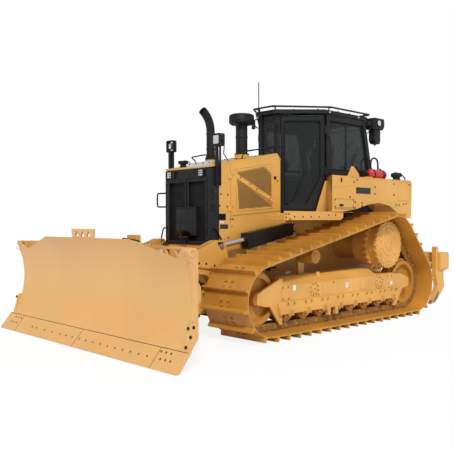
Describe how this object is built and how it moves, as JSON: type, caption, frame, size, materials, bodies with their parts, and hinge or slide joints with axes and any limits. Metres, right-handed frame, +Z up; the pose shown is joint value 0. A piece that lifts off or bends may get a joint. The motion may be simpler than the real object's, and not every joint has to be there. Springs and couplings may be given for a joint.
{
  "type": "crawler bulldozer",
  "caption": "Crawler bulldozer on high-drive tracks with an angling, tilting push blade on a C-frame, a glazed cab and a parallel-link ripper.",
  "frame": {"origin": "on the ground below the middle of the machine's length and width", "axes": "+X forward to the blade, +Y to the driver's left, +Z up"},
  "size_m": [6.92, 3.84, 3.57],
  "materials": {
    "yellow_paint": "gloss",
    "track_steel": "satin",
    "black_paint": "satin",
    "grey_paint": "satin",
    "rod_chrome": "polished",
    "cab_glass": "tinted",
    "seat_fabric": "woven",
    "black_plastic": "matt",
    "red_paint": "gloss"
  },
  "bodies": {
    "root": {"main_frame": "yellow_paint", "engine_block": "grey_paint", "hood_top": "yellow_paint", "hood_sides": "yellow_paint", "radiator_guard": "grey_paint", "grille": "grey_paint", "exhaust_stack": "black_paint", "precleaner": "black_paint", "cab_floor": "black_paint", "cab_posts": "black_paint", "cab_walls": "black_paint", "cab_windows": "cab_glass", "cab_roof": "black_paint", "roof_rails": "black_paint", "seat": "seat_fabric", "console": "black_plastic", "fenders": "yellow_paint", "fuel_tank": "yellow_paint", "steps": "yellow_paint", "work_lamps": "black_paint", "extinguisher": "red_paint", "grab_handles": "black_paint", "track_left": "track_steel", "track_right": "track_steel", "track_idlers": "yellow_paint", "track_rollers": "track_steel", "final_drives": "yellow_paint", "track_frames": "yellow_paint", "ripper_mount": "yellow_paint"},
    "c_frame": {"cframe_arms": "yellow_paint", "cframe_nose": "yellow_paint"},
    "swivel": {"blade_swivel": "yellow_paint"},
    "blade": {"blade_moldboard": "yellow_paint", "cutting_edge": "yellow_paint"},
    "lift_barrels": {"lift_barrels": "black_paint"},
    "lift_rods": {"lift_rods": "rod_chrome"},
    "angle_barrel_left": {"angle_barrel_left": "black_paint"},
    "angle_rod_left": {"angle_rod_left": "rod_chrome"},
    "angle_barrel_right": {"angle_barrel_right": "black_paint"},
    "angle_rod_right": {"angle_rod_right": "rod_chrome"},
    "tilt_barrel": {"tilt_barrel": "yellow_paint"},
    "tilt_rod": {"tilt_rod": "rod_chrome"},
    "cab_door_left": {"cab_door_left": "black_paint", "door_glass_left": "cab_glass"},
    "cab_door_right": {"cab_door_right": "black_paint", "door_glass_right": "cab_glass"},
    "hood_door_left": {"hood_door_left": "yellow_paint"},
    "hood_door_right": {"hood_door_right": "yellow_paint"},
    "ripper_lower_links": {"ripper_lower_links": "yellow_paint"},
    "ripper_upper_links": {"ripper_upper_links": "yellow_paint"},
    "ripper_beam": {"ripper_beam": "yellow_paint", "ripper_shanks": "yellow_paint"},
    "ripper_barrels": {"ripper_barrels": "yellow_paint"},
    "ripper_rods": {"ripper_rods": "rod_chrome"}
  },
  "joints": [
    {"name": "blade_lift", "type": "hinge", "parent": "root", "child": "c_frame", "pos_m": [0.4, 0, 0.64], "axis": [0, -1, 0], "range_deg": [-7, 18]},
    {"name": "lift_barrel_swing", "type": "hinge", "parent": "root", "child": "lift_barrels", "pos_m": [0.245, 0, 1.36], "axis": [0, -1, 0], "range_deg": [-6.5, 16.71]},
    {"name": "lift_rod_slide", "type": "slide", "parent": "lift_barrels", "child": "lift_rods", "axis": [0.9888, 0, -0.1495], "range_m": [-0.2403, 0.0934]},
    {"name": "blade_angle", "type": "hinge", "parent": "c_frame", "child": "swivel", "pos_m": [2.48, 0, 0.435], "axis": [0, 0, 1], "range_deg": [-20, 20]},
    {"name": "angle_barrel_swing_left", "type": "hinge", "parent": "c_frame", "child": "angle_barrel_left", "pos_m": [1.96, 0.52, 0.65], "axis": [0, 0, 1], "range_deg": [-14.99, 14.99]},
    {"name": "angle_rod_slide_left", "type": "slide", "parent": "angle_barrel_left", "child": "angle_rod_left", "axis": [0.9174, 0.3979, 0], "range_m": [-0.2567, 0.2567]},
    {"name": "angle_barrel_swing_right", "type": "hinge", "parent": "c_frame", "child": "angle_barrel_right", "pos_m": [1.96, -0.52, 0.65], "axis": [0, 0, 1], "range_deg": [-14.99, 14.99]},
    {"name": "angle_rod_slide_right", "type": "slide", "parent": "angle_barrel_right", "child": "angle_rod_right", "axis": [0.9174, -0.3979, 0], "range_m": [-0.2567, 0.2567]},
    {"name": "blade_tilt", "type": "hinge", "parent": "swivel", "child": "blade", "pos_m": [2.7, 0, 0.435], "axis": [1, 0, 0], "range_deg": [-6, 6]},
    {"name": "tilt_barrel_swing", "type": "hinge", "parent": "swivel", "child": "tilt_barrel", "pos_m": [2.7, -0.15, 1.18], "axis": [1, 0, 0], "range_deg": [-4.94, 4.94]},
    {"name": "tilt_rod_slide", "type": "slide", "parent": "tilt_barrel", "child": "tilt_rod", "axis": [0, 0.9975, -0.0704], "range_m": [-0.0828, 0.0828]},
    {"name": "cab_door_left_hinge", "type": "hinge", "parent": "root", "child": "cab_door_left", "pos_m": [-0.402, 0.687, 2.3], "axis": [0, 0, 1], "range_deg": [0, 60]},
    {"name": "cab_door_right_hinge", "type": "hinge", "parent": "root", "child": "cab_door_right", "pos_m": [-0.402, -0.687, 2.3], "axis": [0, 0, -1], "range_deg": [0, 60]},
    {"name": "hood_door_left_hinge", "type": "hinge", "parent": "root", "child": "hood_door_left", "pos_m": [1.352, 0.478, 1.9], "axis": [0, 0, -1], "range_deg": [0, 80]},
    {"name": "hood_door_right_hinge", "type": "hinge", "parent": "root", "child": "hood_door_right", "pos_m": [1.352, -0.478, 1.9], "axis": [0, 0, 1], "range_deg": [0, 80]},
    {"name": "ripper_lift", "type": "hinge", "parent": "root", "child": "ripper_lower_links", "pos_m": [-2.4, 0, 0.54], "axis": [0, 1, 0], "range_deg": [-25, 32]},
    {"name": "ripper_upper_swing", "type": "hinge", "parent": "root", "child": "ripper_upper_links", "pos_m": [-2.4, 0, 0.98], "axis": [0, 1, 0], "range_deg": [-26, 33]},
    {"name": "ripper_beam_level", "type": "hinge", "parent": "ripper_lower_links", "child": "ripper_beam", "pos_m": [-3.04, 0, 0.54], "axis": [0, 1, 0], "range_deg": [-33, 26]},
    {"name": "ripper_barrel_swing", "type": "hinge", "parent": "root", "child": "ripper_barrels", "pos_m": [-2.4, 0, 1.18], "axis": [0, 1, 0], "range_deg": [-14.91, 19.09]},
    {"name": "ripper_rod_slide", "type": "slide", "parent": "ripper_barrels", "child": "ripper_rods", "axis": [-0.741, 0, -0.6715], "range_m": [-0.2688, 0.21]}
  ],
  "couplings": [
    {"joint": "lift_barrel_swing", "follows": "blade_lift", "ratio": 0.8597},
    {"joint": "lift_rod_slide", "follows": "blade_lift", "m_per_rad": -0.7082},
    {"joint": "angle_barrel_swing_left", "follows": "blade_angle", "ratio": 0.694},
    {"joint": "angle_rod_slide_left", "follows": "blade_angle", "m_per_rad": -0.6808},
    {"joint": "angle_barrel_swing_right", "follows": "blade_angle", "ratio": 0.694},
    {"joint": "angle_rod_slide_right", "follows": "blade_angle", "m_per_rad": 0.6808},
    {"joint": "tilt_barrel_swing", "follows": "blade_tilt", "ratio": 0.7616},
    {"joint": "tilt_rod_slide", "follows": "blade_tilt", "m_per_rad": -0.7322},
    {"joint": "ripper_upper_swing", "follows": "ripper_lift", "ratio": 1},
    {"joint": "ripper_beam_level", "follows": "ripper_lift", "ratio": -1},
    {"joint": "ripper_barrel_swing", "follows": "ripper_lift", "ratio": 0.5523},
    {"joint": "ripper_rod_slide", "follows": "ripper_lift", "m_per_rad": -0.4456}
  ]
}
